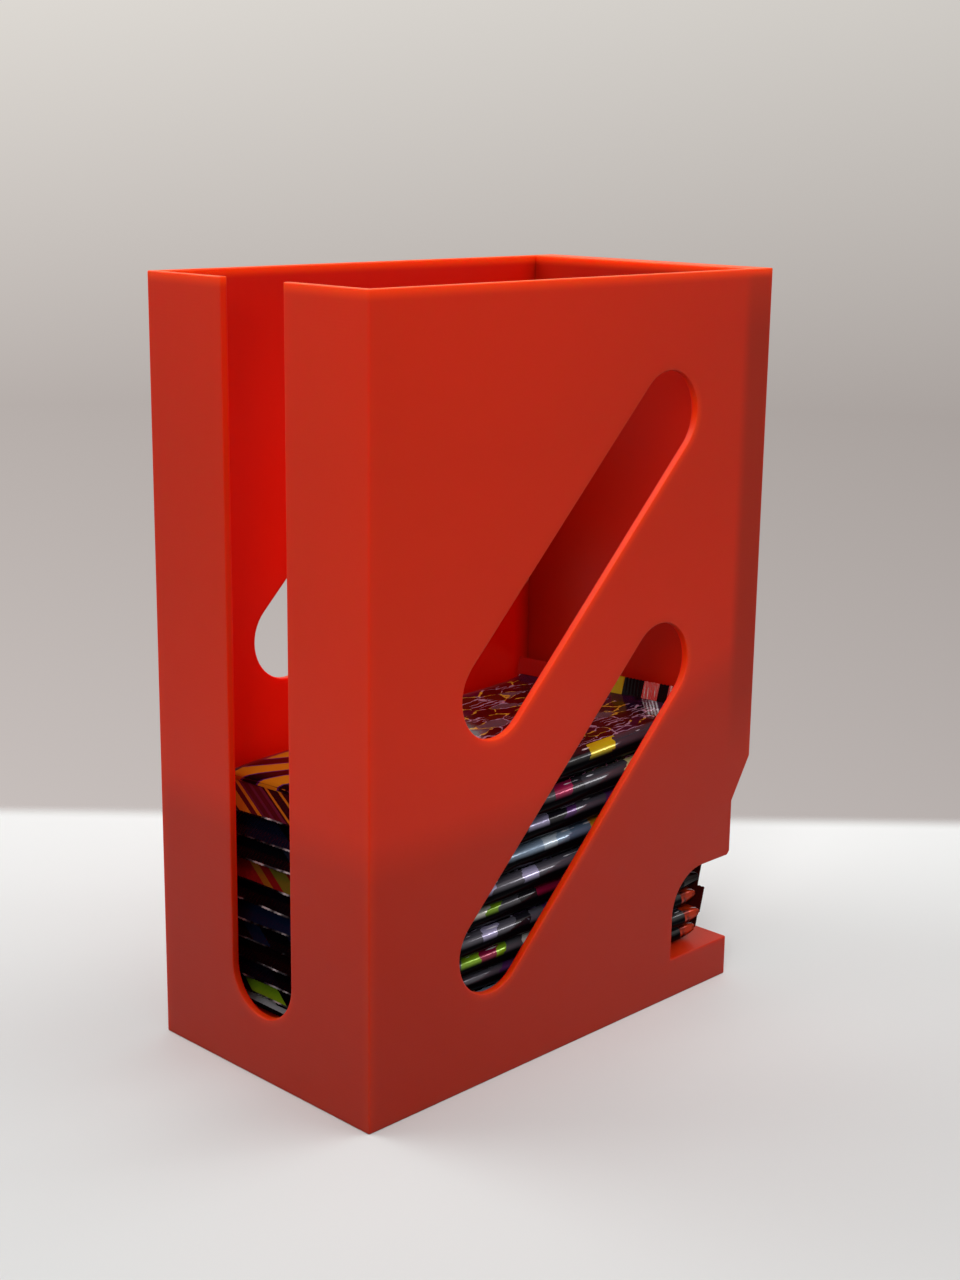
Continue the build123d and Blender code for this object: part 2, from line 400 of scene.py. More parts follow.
# Each pack from the floor up: its design, its front tip, its back crimp's inks and their length
STACK = (
    # The lowest pack's pale back-crimp ink is a painted highlight
    ("meadow", "#b8300a", ("#e2e2e4", "#050506"), 6 * MM),
    ("frost", "#b8300a", ("#84ad1e", "#050508"), 6 * MM),
    ("dusk", "#b8300a", ("#0b0816", "#050507"), 6 * MM),
    ("meadow", "#160708", ("#120506", "#050507"), 6 * MM),
    ("dusk", "#b8300a", ("#0d1830", "#050609"), 6 * MM),
    ("meadow", "#b8300a", ("#06070c", "#0c1832"), 6 * MM),
    ("dusk", "#b8300a", ("#050507", "#07080d"), 6 * MM),
    ("frost", "#b8300a", ("#7c1414", "#8a5414", "#6a5f1c"), 3.5 * MM),
    ("dusk", "#7fa51e", ("#06080d", "#1c2030"), 6 * MM),
    ("bloom", "#a8991a", ("#0a1022", "#050609"), 6 * MM),
    ("ember", "#3a1030", ("#4a0f18", "#b06a16", "#2a0a10", "#5a1a30"), 1.3 * MM),
)
# Painted shade: near black on the turned-under half of the edges and past the lowest crimp's streak
PAINTED_SHADE_INK = "#060508"
# A painted highlight: the glints along the long edges and the lowest crimp's streak
PAINTED_GLINT = "#e6e2ea"

# Shards over the faces, turned and shifted from pack to pack, with brushed outlines and hatching
SHARD_LENGTH = 8 * MM
SHARD_WIDTH = 4.5 * MM
SHARD_SHARES = (0.0, 0.3, 0.52, 0.66, 0.74, 0.9)
SHARD_SHIFT = (0.37, 0.61)
SHARD_TURN = math.radians(24)
SHARD_TURN_STEP = math.radians(47)
STRAY = 0.6
RAGGED = 3 * MM
BRUSH = 0.3
BRUSH_START = 0.12
HATCH_GAP = 1.7 * MM
HATCH_START = 0.56
STROKE_PATCH = 12 * MM
STROKE_SHARES = (0.0, 0.5)

# Patches along the long edges, with the dark tube and the bright tip in front of them
EDGE_PATCH = 5.5 * MM
EDGE_SLANT = 0.7
EDGE_SHARES = (0.0, 0.36, 0.54, 0.7, 0.84)
EDGE_SHIFT = 13.7
EDGE_START = -0.1
SHOULDER = 9 * MM
SHOULDER_INK = "#2e2c2f"
TIP_LENGTH = 5.5 * MM
TIP_SHARES = (0.36, 0.5)
# Painted highlights: broken glints along the long edges
GLINT_LENGTH = 7 * MM
GLINT_PLACE = 0.08
GLINT_SPREAD = 0.3
GLINT_START = 0.58

# Wavy stripes near the back, bars on both crimps, and bare film past the back crimp with painted
# glints
TAIL_LENGTH = 20 * MM
TAIL_STRIPE = 7 * MM
TAIL_SHARES = (0.0, 0.3, 0.45)
BAR_PATCH = 5 * MM
BAR_SLANT = 0.1
BACK_SLANT = 2.2
BLOCK_SHIFT = 5.3
BARE_PATCH = 6 * MM
BARE_SHIFT = 3.1
BARE_FILM_GLINTS = ((0.46, "#060608"), (0.56, "#4c4d51"), (0.66, "#dcdcde"))
# The lowest crimp's painted highlight: one bright streak, then painted shade
PAINTED_STREAK = (5.5 * MM, 7.2 * MM)

# Gloss on faces, long edges, noses and crimps; painted shade on the turned-under half of an edge
UNDER_SHADE = (0.28, 0.46)
FRONT_SHADE = -0.25
FACE_GLOSS = 0.35
CRIMP_GLOSS = 0.1
NOSE_FADE = 3 * MM
FLAT_GLOSS = 0.4
EDGE_FADE = 2 * MM
FRONT_GLOSS = 0.4
FILM_METAL = 0.3
SILVER_BLUE = 0.4
CRINKLE = 4 * MM
CRINKLE_DEPTH = 0.25 * MM
CRINKLE_ROUGHNESS = (0.07, 0.2)


def face_print(tree, film, ragged, number, design):
    """The print on a pack's faces: the shards, and the stroke layers that lie on them."""
    turned = add(tree, "ShaderNodeMapping", {
        "Vector": film,
        "Location": (SHARD_SHIFT[0] * number, SHARD_SHIFT[1] * number, 0.0),
        "Rotation": (0.0, 0.0, SHARD_TURN + SHARD_TURN_STEP * number),
        "Scale": (1 / SHARD_LENGTH, 1 / SHARD_WIDTH, 1.0),
    })
    strayed = add(tree, "ShaderNodeVectorMath", {
        0: ragged["Color"], 1: (STRAY, STRAY, 0.0), 2: turned}, operation="MULTIPLY_ADD")
    cells = add(tree, "ShaderNodeTexVoronoi", {
        "Vector": strayed, "Scale": 1.0}, voronoi_dimensions="2D")
    pick = add(tree, "ShaderNodeSeparateColor", {0: cells.outputs["Color"]})
    ground, shards = design["ground"], design["shards"]
    face = add(tree, "ShaderNodeValToRGB", {0: pick}, hold=True, stops=list(zip(
        SHARD_SHARES, (ground, *shards[:2], ground, *shards[2:]))))
    patch = add(tree, "ShaderNodeTexNoise", {
        "Vector": film, "Scale": 1 / STROKE_PATCH, "Detail": 1.0})
    hatch = add(tree, "ShaderNodeTexWave", {
        "Vector": strayed, "Scale": WAVE_REPEAT * SHARD_WIDTH / HATCH_GAP, "Distortion": 3.0,
    }, bands_direction="Y")
    drawn = add(tree, "ShaderNodeMath", {
        0: hatch.outputs["Fac"], 1: patch}, operation="MULTIPLY")
    border = add(tree, "ShaderNodeTexVoronoi", {
        "Vector": strayed, "Scale": 1.0}, voronoi_dimensions="2D", feature="DISTANCE_TO_EDGE")
    brush = add(tree, "ShaderNodeMath", {0: ragged["Fac"], 1: BRUSH}, operation="MULTIPLY")
    outline = add(tree, "ShaderNodeMath", {
        0: brush, 1: border.outputs["Distance"]}, operation="SUBTRACT")
    ink = add(tree, "ShaderNodeValToRGB", {0: patch}, hold=True, stops=list(zip(
        STROKE_SHARES, design["strokes"])))
    return face, [(drawn, HATCH_START, ink), (outline, BRUSH_START, ink)]


def tail_print(tree, film, design):
    """Wavy diagonal stripes near a pack's back end."""
    stripes = add(tree, "ShaderNodeTexWave", {
        "Vector": film, "Scale": WAVE_REPEAT / TAIL_STRIPE,
        "Distortion": 5.0, "Detail": 1.0, "Detail Scale": 0.4}, bands_direction="DIAGONAL")
    return add(tree, "ShaderNodeValToRGB", {0: stripes.outputs["Fac"]}, hold=True, stops=list(zip(
        TAIL_SHARES, (design["ground"], *design["tail"]))))


def block_print(tree, count, stops):
    """Blocks of plain ink, cut at uneven steps of a running count."""
    cells = add(tree, "ShaderNodeTexVoronoi", {
        "W": count, "Scale": 1.0}, voronoi_dimensions="1D")
    pick = add(tree, "ShaderNodeSeparateColor", {0: cells.outputs["Color"]})
    return add(tree, "ShaderNodeValToRGB", {0: pick}, hold=True, stops=stops)


def edge_print(tree, along, aside, ragged, number, design):
    """Slanted patches along a pack's long edges, with a dark tube behind the front tip."""
    slanted = add(tree, "ShaderNodeMath", {
        0: aside, 1: EDGE_SLANT, 2: along}, operation="MULTIPLY_ADD")
    uneven = add(tree, "ShaderNodeMath", {
        0: slanted, 1: 1 / EDGE_PATCH, 2: ragged["Fac"]}, operation="MULTIPLY_ADD")
    count = add(tree, "ShaderNodeMath", {0: uneven, 1: EDGE_SHIFT * number}, operation="ADD")
    patches = block_print(tree, count, list(zip(EDGE_SHARES, design["edge"])))
    shoulder = add(tree, "ShaderNodeMath", {
        0: along, 1: POUCH_LENGTH / 2 - TIP_LENGTH - SHOULDER}, operation="GREATER_THAN")
    return add(tree, "ShaderNodeMix", {
        FACTOR: shoulder, UNDER: patches, OVER: linear(SHOULDER_INK)}, data_type="RGBA")


def painted_edge_glint(tree, along, aside, edge, rounding):
    """How near the film is to the painted highlight, a broken line of light along its long edge."""
    glint = add(tree, "ShaderNodeTexNoise", {
        "W": along, "Scale": 1 / GLINT_LENGTH, "Detail": 1.0}, noise_dimensions="1D")
    past = add(tree, "ShaderNodeMath", {
        0: aside, 1: edge + GLINT_PLACE * rounding}, operation="SUBTRACT")
    off = add(tree, "ShaderNodeMath", {0: past}, operation="ABSOLUTE")
    return add(tree, "ShaderNodeMath", {
        0: off, 1: -1 / (GLINT_SPREAD * rounding), 2: glint}, operation="MULTIPLY_ADD")


def crimp_print(tree, film, number, size, slant, colours):
    """Bars of ink across a crimp."""
    place = add(tree, "ShaderNodeVectorMath", {
        0: film, 1: (slant / size, 1 / size, 0.0)}, operation="DOT_PRODUCT")
    count = add(tree, "ShaderNodeMath", {0: place, 1: BLOCK_SHIFT * number}, operation="ADD")
    return block_print(tree, count, [(i / len(colours), c) for i, c in enumerate(colours)])


def silver_share(tree, along, bars):
    """How metallic the film is: fully so where the front crimp has no ink."""
    blue = add(tree, "ShaderNodeSeparateColor", {0: bars}).outputs["Blue"]
    bare = add(tree, "ShaderNodeMath", {0: blue, 1: SILVER_BLUE}, operation="GREATER_THAN")
    crimped = add(tree, "ShaderNodeMath", {
        0: along, 1: POUCH_LENGTH / 2}, operation="GREATER_THAN")
    silver = add(tree, "ShaderNodeMath", {0: bare, 1: crimped}, operation="MULTIPLY")
    return add(tree, "ShaderNodeMapRange", {"Value": silver, "To Min": FILM_METAL})


def printed_film(number, height):
    """Metallised film with a gravure print under gloss: dark ink, hard highlights, some painted,
    fine crinkles.

    The print follows the film's own map: along the pack, and round from the middle of its top.
    """
    name, tip, back_inks, back_patch = STACK[number - 1]
    design = DESIGNS[name]
    material, tree, output = new_material(f"printed_foil_film_{number:02d}")
    film = add(tree, "ShaderNodeUVMap", uv_map="film")
    along = add(tree, "ShaderNodeSeparateXYZ", {0: film}).outputs["X"]
    backwards = add(tree, "ShaderNodeMath", {0: along, 1: -1.0}, operation="MULTIPLY")
    folded = add(tree, "ShaderNodeVectorMath", {0: film}, operation="ABSOLUTE")
    aside = add(tree, "ShaderNodeSeparateXYZ", {0: folded}).outputs["Y"]
    ragged = add(tree, "ShaderNodeTexNoise", {
        "Vector": film, "Scale": 1 / RAGGED, "Detail": 2.0}).outputs
    nose = POUCH_LENGTH / 2
    edge = PACK_HALF_WIDTH - WAIST - height / 2
    rounding = math.pi * height / 2

    face, strokes = face_print(tree, film, ragged, number, design)
    tips = add(tree, "ShaderNodeValToRGB", {0: ragged["Fac"]}, stops=list(zip(
        TIP_SHARES, (design["ground"], tip))))
    bars = crimp_print(tree, film, number, BAR_PATCH, BAR_SLANT, design["bars"])
    back_bars = crimp_print(tree, film, number, back_patch, BACK_SLANT, back_inks)
    # Bare film at the back crimp's cut edge, its grey and white patches painted glints
    bare = add(tree, "ShaderNodeTexNoise", {
        "Vector": film, "W": BARE_SHIFT * number, "Scale": 1 / BARE_PATCH, "Detail": 2.0,
    }, noise_dimensions="4D")
    bare = add(tree, "ShaderNodeValToRGB", {0: bare}, stops=BARE_FILM_GLINTS)
    # Each ink covers those before it wherever its value is past its limit
    inks = strokes + [
        (backwards, nose - TAIL_LENGTH, tail_print(tree, film, design)),
        (aside, edge + EDGE_START * rounding,
         edge_print(tree, along, aside, ragged, number, design)),
        (along, nose - TIP_LENGTH, tips),
        # Painted glints along the long edges
        (painted_edge_glint(tree, along, aside, edge, rounding), GLINT_START, linear(PAINTED_GLINT)),
        (along, nose, bars),
        (backwards, nose, back_bars),
        (backwards, nose + CRIMP_LENGTH, bare),
    ]
    # The lowest pack's back crimp gets a painted streak of light, then painted shade
    if number == 1:
        inks += [
            (backwards, nose + PAINTED_STREAK[0], linear(PAINTED_GLINT)),
            (backwards, nose + PAINTED_STREAK[1], linear(PAINTED_SHADE_INK)),
        ]
    for value, limit, ink in inks:
        past = add(tree, "ShaderNodeMath", {0: value, 1: limit}, operation="GREATER_THAN")
        face = add(tree, "ShaderNodeMix", {
            FACTOR: past, UNDER: face, OVER: ink}, data_type="RGBA")

    # Painted shade: the turned-under half of each edge goes near black, lower down at the front
    # tips
    front = add(tree, "ShaderNodeMath", {0: along, 1: nose - TIP_LENGTH}, operation="GREATER_THAN")
    low = add(tree, "ShaderNodeMath", {
        0: front, 1: FRONT_SHADE * rounding, 2: aside}, operation="MULTIPLY_ADD")
    lit = add(tree, "ShaderNodeMapRange", {
        "Value": low, "From Min": edge + UNDER_SHADE[0] * rounding,
        "From Max": edge + UNDER_SHADE[1] * rounding, "To Min": 1.0, "To Max": 0.0,
    }, interpolation_type="SMOOTHSTEP")
    face = add(tree, "ShaderNodeMix", {
        FACTOR: lit, UNDER: linear(PAINTED_SHADE_INK), OVER: face}, data_type="RGBA")
    hung = add(tree, "ShaderNodeMapRange", {
        "Value": backwards, "From Min": nose - NOSE_FADE, "From Max": nose,
        "To Min": FACE_GLOSS, "To Max": CRIMP_GLOSS})
    flat = add(tree, "ShaderNodeMapRange", {
        "Value": aside, "From Min": edge - EDGE_FADE, "From Max": edge, "To Min": FLAT_GLOSS})
    dull = add(tree, "ShaderNodeMapRange", {
        "Value": front, "To Min": 1.0, "To Max": FRONT_GLOSS})
    gloss = lit
    for share in (hung, flat, dull):
        gloss = add(tree, "ShaderNodeMath", {0: gloss, 1: share}, operation="MULTIPLY")

    crinkle = add(tree, "ShaderNodeTexNoise", {
        "Vector": film, "Scale": 1 / CRINKLE, "Detail": 4.0, "Distortion": 0.6})
    rough = add(tree, "ShaderNodeMapRange", {
        "Value": crinkle, "To Min": CRINKLE_ROUGHNESS[0], "To Max": CRINKLE_ROUGHNESS[1]})
    dents = add(tree, "ShaderNodeBump", {
        "Height": crinkle, "Strength": 0.25, "Distance": CRINKLE_DEPTH})
    shader = add(tree, "ShaderNodeBsdfPrincipled", {
        "Base Color": face,
        "Metallic": silver_share(tree, along, bars) if SILVER in design["bars"] else FILM_METAL,
        "Roughness": rough,
        "Specular IOR Level": gloss,
        "Coat Weight": gloss,
        "Coat Roughness": 0.05,
        "Normal": dents,
    })
    tree.links.new(shader.outputs[0], output.inputs["Surface"])
    return material


def card_stock():
    """Coated board, cut in a stack: pale edges with a dark line between cards."""
    material, tree, output = new_material("card_stock")
    place = add(tree, "ShaderNodeTexCoord").outputs["Object"]
    edges = add(tree, "ShaderNodeTexWave", {
        "Vector": place, "Scale": WAVE_REPEAT / CARD_THICKNESS}, bands_direction="Z").outputs["Fac"]
    colour = add(tree, "ShaderNodeValToRGB", {0: edges}, stops=[(0.0, "#b9b2a8"), (0.3, "#efece4")])
    lines = add(tree, "ShaderNodeBump", {
        "Height": edges, "Strength": 0.4, "Distance": 0.05 * MM})
    shader = add(tree, "ShaderNodeBsdfPrincipled", {
        "Base Color": colour, "Roughness": 0.55, "Normal": lines})
    tree.links.new(shader.outputs[0], output.inputs["Surface"])
    return material


def piece(name, mesh, material, body):
    """A finished mesh as an object of its own that rides on a body."""
    made = bpy.data.objects.new(name, mesh)
    mesh.materials.clear()
    mesh.materials.append(material)
    bpy.context.scene.collection.objects.link(made)
    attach(made, body)
    return made


def plain_mesh(made):
    """The evaluated mesh of an object, which is then removed with its modifiers."""
    bpy.context.view_layer.update()
    evaluated = made.evaluated_get(bpy.context.evaluated_depsgraph_get())
    mesh = bpy.data.meshes.new_from_object(evaluated)
    bpy.data.objects.remove(made)
    return mesh


def dispenser_shell():
    """The print's own shape with a straight well and its sharp outer edges rounded.

    The well's front face goes straight up, so the front wall is thick above its step.
    """
    shape = bmesh.new()
    shape.from_mesh(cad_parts["dispenser_body"].data)
    bmesh.ops.remove_doubles(shape, verts=shape.verts, dist=WELD)
    bmesh.ops.dissolve_limit(shape, angle_limit=FLAT_ANGLE, verts=shape.verts, edges=shape.edges)
    for corner in shape.verts:
        spot = corner.co
        in_well = spot.x < front_x - WALL / 2 and abs(spot.y) < side_y - WALL / 2
        if in_well and spot.z > STEP_Z:
            spot.x = min(spot.x, LEDGE_X - WALL)
    bmesh.ops.dissolve_degenerate(shape, dist=WELD, edges=shape.edges)
    bmesh.ops.dissolve_limit(shape, angle_limit=FLAT_ANGLE, verts=shape.verts, edges=shape.edges)
    sharp = [edge for edge in shape.edges
             if edge.is_manifold and edge.is_convex and edge.calc_face_angle() > ROUNDED_ANGLE]
    bmesh.ops.bevel(shape, geom=sharp, offset=EDGE_ROUND, offset_type="OFFSET", segments=EDGE_STEPS,
                    profile=0.5, affect="EDGES", clamp_overlap=False)
    mesh = bpy.data.meshes.new("dispenser_print")
    shape.to_mesh(mesh)
    shape.free()
    mesh.shade_smooth()
    mesh.set_sharp_from_angle(angle=PRINT_SHARP_ANGLE)
    made = bpy.data.objects.new("dispenser_print", mesh)
    bpy.context.scene.collection.objects.link(made)
    normals = made.modifiers.new("flat_faces", "WEIGHTED_NORMAL")
    normals.keep_sharp = True
    return plain_mesh(made)


# A pouch's mesh: steps over its flats and round its edges, and along its ends and its middle
FLAT_STEPS = 20
ROUND_STEPS = 12
END_ZONE = 20 * MM
END_STEPS = 26
MIDDLE_STEPS = 34
PLAIN_REACH = POUCH_LENGTH / 2 - 0.9 * TAPER_LENGTH
POUCH_SHARP_ANGLE = math.radians(60)
# Its inner face is coarser, and starts a little way in from the noses
INNER_FILM = 0.8 * FILM
INNER_ROWS = slice(2, -2, 3)
INNER_SKIP = 2

# Dents in the film: slow waves over the faces, bumps along the edges, creases from the noses
FACE_WAVES = (31 * MM, 43 * MM)
FACE_SWING = 1.4
FACE_DENT = 0.06 * MM
EDGE_WAVES = (17 * MM, 7.3 * MM)
SIDE_WAVE = 11 * MM
SIDE_SHARE = 0.6
EDGE_DENT = 0.14 * MM
# One draw more than the waves use, so that the creases' draws stay as they are
WAVE_DRAWS = 6
CREASES = 9
CREASE_PLACE = 0.9 * PACK_HALF_WIDTH
CREASE_REACH = (9 * MM, 21 * MM)
CREASE_WIDTH = (0.7 * MM, 1.6 * MM)
CREASE_DEPTH = (0.2 * MM, 0.5 * MM)
CREASE_SLANT = 0.5
CREASE_NARROW = 0.6
CREASE_START = 3 * MM
CREASE_SLACK = 1.2


def pack_place(number):
    """Where a pack lies, from its own middle to the frame; its height; its back crimp's turn."""
    corners, film = [
        np.unique(np.round([
            v.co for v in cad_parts[f"pack_{number:02d}_{part}"].data.vertices], 6), axis=0)
        for part in ("cards", "wrapper")
    ]
    middle = corners.mean(0)
    axes = np.linalg.svd(corners - middle)[2]
    axes *= np.sign(np.diag(axes))[:, None]
    flat = (film - middle) @ axes.T
    heights = flat[np.abs(flat[:, 0]) < PLAIN_REACH, 2]
    level = (heights.max() + heights.min()) / 2
    tip = flat[flat[:, 0] < flat[:, 0].min() + CRIMP_FILM].mean(0)
    droop = math.atan2(level - tip[2], -POUCH_LENGTH / 2 - tip[0])
    place = Matrix.Translation(Vector(middle)) @ Matrix(axes.tolist()).transposed().to_4x4()
    return place @ Matrix.Translation((0, 0, level)), float(np.ptp(heights)), droop


def film_outline():
    """The section's points from the middle of the underside: share of the flat width, and turn."""
    half = np.arange(FLAT_STEPS) / FLAT_STEPS
    whole = np.arange(2 * FLAT_STEPS) / FLAT_STEPS - 1
    arc = np.arange(ROUND_STEPS) / ROUND_STEPS * math.pi
    side = np.ones(ROUND_STEPS)
    under = np.full(FLAT_STEPS, math.pi)
    share = np.concatenate([-half, -side, whole, side, 1 - half])
    turn = np.concatenate([under, math.pi + arc, np.zeros(2 * FLAT_STEPS), arc, under])
    return share, turn


def film_stations():
    """Places along a pouch, close together towards its ends."""
    half = POUCH_LENGTH / 2
    turns = np.linspace(0, math.pi / 2, END_STEPS + 1)[1:]
    ends = half - END_ZONE + END_ZONE * np.sin(turns)
    middle = np.linspace(END_ZONE - half, half - END_ZONE, MIDDLE_STEPS + 1)
    return np.concatenate([-ends[::-1], middle, ends])


def smooth(value, low, high):
    """0 up to low, 1 from high on, and an even rise between them."""
    share = np.clip((value - low) / (high - low), 0, 1)
    return share * share * (3 - 2 * share)


def film_dents(along, across, turn, fullness, slack, random):
    """How far the film lies inside its plain form."""
    phase = random.uniform(0, FULL_TURN, WAVE_DRAWS)

    def wave(place, length, draw, swing=0):
        return np.sin(place * FULL_TURN / length + phase[draw] + swing)

    swing = FACE_SWING * wave(across, FACE_WAVES[1], 1)
    dents = FACE_DENT * slack * (1 + wave(along, FACE_WAVES[0], 0, swing))
    bumps = wave(along, EDGE_WAVES[0], 2) + wave(along, EDGE_WAVES[1], 3)
    skew = np.where(np.sin(turn) > 0, SIDE_SHARE, -SIDE_SHARE)
    bumps = bumps + skew * wave(along, SIDE_WAVE, 4)
    dents = dents + np.sin(turn) ** 2 * EDGE_DENT * np.clip(bumps, 0, None)
    for end in (-1, 1):
        inward = POUCH_LENGTH / 2 - end * along
        for side in (-1, 1):
            film = np.clip(side * np.cos(turn), 0, 1)
            for _ in range(CREASES):
                middle = random.uniform(-CREASE_PLACE, CREASE_PLACE)
                reach = random.uniform(*CREASE_REACH)
                width = random.uniform(*CREASE_WIDTH)
                depth = random.uniform(*CREASE_DEPTH) * min(slack, CREASE_SLACK)
                slant = random.uniform(-CREASE_SLANT, CREASE_SLANT)
                spread = width * (CREASE_NARROW + inward / reach)
                ridge = np.exp(-((across - middle - slant * inward) / spread) ** 2)
                ends = (1 - smooth(inward, 0, reach)) * smooth(inward, 0, CREASE_START)
                dents = dents + film * depth * ridge * ends
    return dents * fullness


def pouch_mesh(name, height, rise, slack, seed):
    """A hollow film pouch: flat over its cards, half round at its edges, pinched at its noses.

    Its front nose lies above the middle of its height by rise.
    """
    random = np.random.default_rng(seed)
    share, turn = film_outline()
    along = film_stations()[:, None]
    into = np.clip(np.abs(along) - (POUCH_LENGTH / 2 - TAPER_LENGTH), 0, TAPER_LENGTH)
    fullness = (1 - (into / TAPER_LENGTH) ** BLUNT) ** (1 / BLUNT)
    half = NOSE_LIP + fullness * (height / 2 - NOSE_LIP)
    flat = PACK_HALF_WIDTH - WAIST * fullness - half
    across = share * flat + half * np.sin(turn)
    inside = film_dents(along, across, turn[None, :], fullness, slack, random)
    level = (half - inside) * np.cos(turn) + np.where(along > 0, rise, 0) * (1 - fullness)
    across = across - inside * np.sin(turn)
    outer = np.stack([np.broadcast_to(along, across.shape), across, level], axis=-1)

    slope = np.gradient(outer, axis=0)
    around = (np.roll(outer, -1, axis=1) - np.roll(outer, 1, axis=1)) / 2
    normal = np.cross(around, slope)
    normal /= np.linalg.norm(normal, axis=-1, keepdims=True)
    inner = (outer - INNER_FILM * normal)[INNER_ROWS, ::INNER_SKIP]

    rows, columns = across.shape
    outer_count = rows * columns
    points = np.concatenate([outer.reshape(-1, 3), inner.reshape(-1, 3)])
    faces = []
    for skin, start, order in ((outer, 0, 1), (inner, outer_count, -1)):
        high, wide = skin.shape[:2]
        index = start + np.arange(high * wide).reshape(high, wide)
        following = np.roll(index, -1, axis=1)
        quads = np.stack([index[:-1], following[:-1], following[1:], index[1:]], axis=-1)
        sheets = [*quads.reshape(-1, 4), index[0][::-1], index[-1]]
        faces += [sheet[::order].tolist() for sheet in sheets]
    mesh = bpy.data.meshes.new(name)
    mesh.from_pydata(points.tolist(), [], faces)

    plain_flat = PACK_HALF_WIDTH - WAIST - height / 2
    side = np.where((turn > math.pi) | (share < 0), -1, 1)
    bent = np.where(turn > math.pi, FULL_TURN - turn, turn)
    under = np.where(np.isclose(turn, math.pi), plain_flat * (1 - np.abs(share)), 0)
    edge = side * (plain_flat + bent * height / 2 + under)
    over = np.where(turn == 0, share * plain_flat, edge)
    wrap = 2 * (plain_flat + math.pi * height / 4)
    corner = np.array([loop.vertex_index for loop in mesh.loops])
    within = INNER_SKIP * ((corner - outer_count) % inner.shape[1])
    step = np.where(corner < outer_count, corner % columns, within)
    uv = np.stack([points[corner, 0], over[step]], axis=-1)
    for polygon in mesh.polygons:
        strip = list(polygon.loop_indices)
        if polygon.loop_total == 4 and np.ptp(uv[strip, 1]) > wrap:
            low = [i for i in strip if uv[i, 1] < 0]
            uv[low, 1] += 2 * wrap
    film = mesh.uv_layers.new(name="film")
    film.data.foreach_set("uv", uv.astype(np.float32).ravel())
    mesh.shade_smooth()
    mesh.set_sharp_from_angle(angle=POUCH_SHARP_ANGLE)
    return mesh


# A crimp: its ribs, its toothed edge, how it curls and sways, and how far its root is buried
SEAL_ROWS = 10
POINTS_PER_RIB = 6.0
RIB_PITCH = 1.2 * MM
FRONT_RIB = 0.008 * MM
BACK_RIB = 0.03 * MM
RIB_START = (0.12, 0.3)
TOOTH_DEPTH = 0.2 * MM
TOOTH_START = 0.88
SWAY_LENGTH = 26 * MM
FRONT_CURL = (-0.3 * MM, 0.2 * MM)
FRONT_WAVE = 0.7 * MM
BACK_CURL = (1.2 * MM, 2.2 * MM)
BACK_WAVE = 0.8 * MM
LOOSE_WAVE = 2.2 * MM
STIFF_DROOP = FULL_DROOP / 3
ROOT = 0.4 * MM
SEAL_SHARP_ANGLE = math.radians(50)
SEAL_SIZES = ("Length", "Depth", "Thickness", "Rib Pitch", "Rib Height", "Tooth Depth", "Curl",
              "Wave", "Seed")


